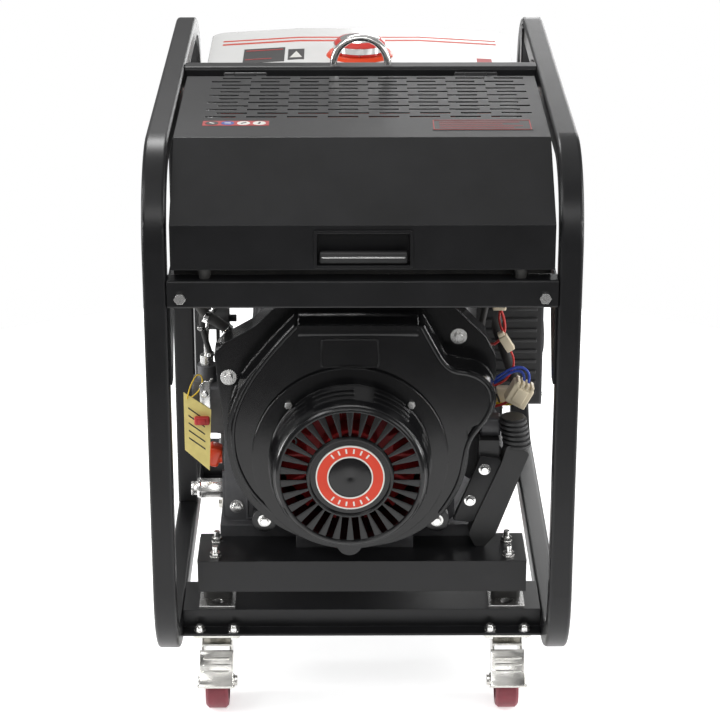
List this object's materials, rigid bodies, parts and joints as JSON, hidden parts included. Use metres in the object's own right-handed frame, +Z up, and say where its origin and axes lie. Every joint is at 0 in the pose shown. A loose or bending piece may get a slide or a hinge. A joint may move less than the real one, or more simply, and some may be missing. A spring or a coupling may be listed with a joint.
{
  "type": "engine driven welder",
  "caption": "Open tube frame on casters carrying an air cooled diesel engine, a welding alternator, a fuel tank, a control box and a hinged slotted hood.",
  "frame": {"origin": "centre of the footprint, on the floor under the casters", "axes": "+X to the right seen from the engine end, +Y from the engine end to the tank end, +Z up"},
  "size_m": [0.55, 0.8606, 0.863],
  "materials": {
    "frame_black": "satin",
    "bare_steel": "zinc plated",
    "caster_zinc": "bright zinc",
    "wheel_maroon": "satin",
    "rubber_black": "matte",
    "engine_grey": "cast",
    "cylinder_iron": "matte",
    "head_aluminium": "cast",
    "engine_black": "gloss",
    "fan_red": "satin",
    "plastic_black": "matte",
    "alternator_grey": "satin",
    "winding_steel": "matte",
    "tank_white": "gloss",
    "cap_orange": "gloss",
    "cap_red": "gloss"
  },
  "bodies": {
    "frame": {"left_hoop": "frame_black", "right_hoop": "frame_black", "left_post": "frame_black", "top_crossbar": "frame_black", "lifting_eye": "bare_steel", "front_crossbar": "frame_black", "rear_crossbar": "frame_black", "front_crossmember": "frame_black", "rear_crossmember": "frame_black", "front_engine_beam": "frame_black", "rear_engine_beam": "frame_black", "mount_plates": "bare_steel", "mount_rubbers": "rubber_black", "welded_brackets": "frame_black", "frame_fasteners": "bare_steel", "caster_bases": "caster_zinc", "hood_hinges": "frame_black", "hood_bumpers": "rubber_black", "crankcase": "engine_grey", "cylinder_barrel": "cylinder_iron", "cylinder_head": "head_aluminium", "rocker_cover": "engine_black", "fan_housing": "engine_black", "fan_cover": "engine_black", "muffler": "engine_black", "air_cleaner": "plastic_black", "injection_pump": "engine_grey", "injector_pipe": "bare_steel", "stop_solenoid": "plastic_black", "starter_motor": "plastic_black", "oil_drain": "bare_steel", "engine_screws": "bare_steel", "alternator_housing": "alternator_grey", "alternator_stator": "winding_steel", "fuel_tank": "tank_white", "filler_ring": "cap_orange", "battery": "plastic_black", "control_box": "plastic_black", "control_panel": "alternator_grey", "panel_sockets": "plastic_black", "side_duct": "plastic_black", "wiring_loom": "plastic_black"},
    "hood": {"hood_lid": "frame_black"},
    "crank": {"flywheel_fan": "fan_red", "crankshaft": "bare_steel", "alternator_rotor": "winding_steel"},
    "fuel_cap": {"fuel_cap": "cap_red"},
    "oil_cap": {"oil_filler_cap": "cap_orange"},
    "speed_lever": {"speed_lever": "bare_steel"},
    "current_knob": {"current_knob": "plastic_black"},
    "key_switch": {"key_switch": "plastic_black"},
    "breaker_switch": {"breaker_switch": "plastic_black"},
    "front_left_fork": {"front_left_fork": "caster_zinc"},
    "front_right_fork": {"front_right_fork": "caster_zinc"},
    "front_left_wheel": {"front_left_wheel": "wheel_maroon"},
    "front_right_wheel": {"front_right_wheel": "wheel_maroon"},
    "left_brake_pedal": {"left_brake_pedal": "caster_zinc"},
    "right_brake_pedal": {"right_brake_pedal": "caster_zinc"},
    "rear_left_wheel": {"rear_left_wheel": "wheel_maroon"},
    "rear_right_wheel": {"rear_right_wheel": "wheel_maroon"}
  },
  "joints": [
    {"name": "hood_hinge", "type": "hinge", "parent": "frame", "child": "hood", "pos_m": [0, 0.009, 0.812], "axis": [-1, 0, 0], "range_deg": [0, 75]},
    {"name": "crank_spin", "type": "hinge", "parent": "frame", "child": "crank", "pos_m": [-0.016, 0, 0.3735], "axis": [0, 1, 0], "continuous": true},
    {"name": "fuel_cap_turn", "type": "hinge", "parent": "frame", "child": "fuel_cap", "pos_m": [0, 0.229, 0.79], "axis": [0, 0, 1], "range_deg": [0, 90]},
    {"name": "oil_cap_turn", "type": "hinge", "parent": "frame", "child": "oil_cap", "pos_m": [-0.19, -0.2, 0.33], "axis": [-1, 0, 0], "range_deg": [0, 360]},
    {"name": "speed_lever_turn", "type": "hinge", "parent": "frame", "child": "speed_lever", "pos_m": [-0.23, -0.208, 0.405], "axis": [1, 0, 0], "range_deg": [0, 30]},
    {"name": "current_knob_turn", "type": "hinge", "parent": "frame", "child": "current_knob", "pos_m": [0.26, 0.055, 0.535], "axis": [1, 0, 0], "range_deg": [0, 270]},
    {"name": "key_turn", "type": "hinge", "parent": "frame", "child": "key_switch", "pos_m": [0.26, 0.155, 0.535], "axis": [1, 0, 0], "range_deg": [0, 90]},
    {"name": "breaker_rock", "type": "hinge", "parent": "frame", "child": "breaker_switch", "pos_m": [0.258, 0.26, 0.535], "axis": [0, 1, 0], "range_deg": [-20, 0]},
    {"name": "front_left_swivel", "type": "hinge", "parent": "frame", "child": "front_left_fork", "pos_m": [-0.199, -0.273, 0.1], "axis": [0, 0, 1], "continuous": true},
    {"name": "front_right_swivel", "type": "hinge", "parent": "frame", "child": "front_right_fork", "pos_m": [0.199, -0.273, 0.1], "axis": [0, 0, 1], "continuous": true},
    {"name": "front_left_roll", "type": "hinge", "parent": "front_left_fork", "child": "front_left_wheel", "pos_m": [-0.199, -0.31, 0.0375], "axis": [1, 0, 0], "continuous": true},
    {"name": "front_right_roll", "type": "hinge", "parent": "front_right_fork", "child": "front_right_wheel", "pos_m": [0.199, -0.31, 0.0375], "axis": [1, 0, 0], "continuous": true},
    {"name": "rear_left_roll", "type": "hinge", "parent": "frame", "child": "rear_left_wheel", "pos_m": [-0.199, 0.273, 0.0375], "axis": [1, 0, 0], "continuous": true},
    {"name": "rear_right_roll", "type": "hinge", "parent": "frame", "child": "rear_right_wheel", "pos_m": [0.199, 0.273, 0.0375], "axis": [1, 0, 0], "continuous": true},
    {"name": "left_brake_press", "type": "hinge", "parent": "front_left_fork", "child": "left_brake_pedal", "pos_m": [-0.199, -0.318, 0.08], "axis": [1, 0, 0], "range_deg": [0, 13]},
    {"name": "right_brake_press", "type": "hinge", "parent": "front_right_fork", "child": "right_brake_pedal", "pos_m": [0.199, -0.318, 0.08], "axis": [1, 0, 0], "range_deg": [0, 13]}
  ]
}
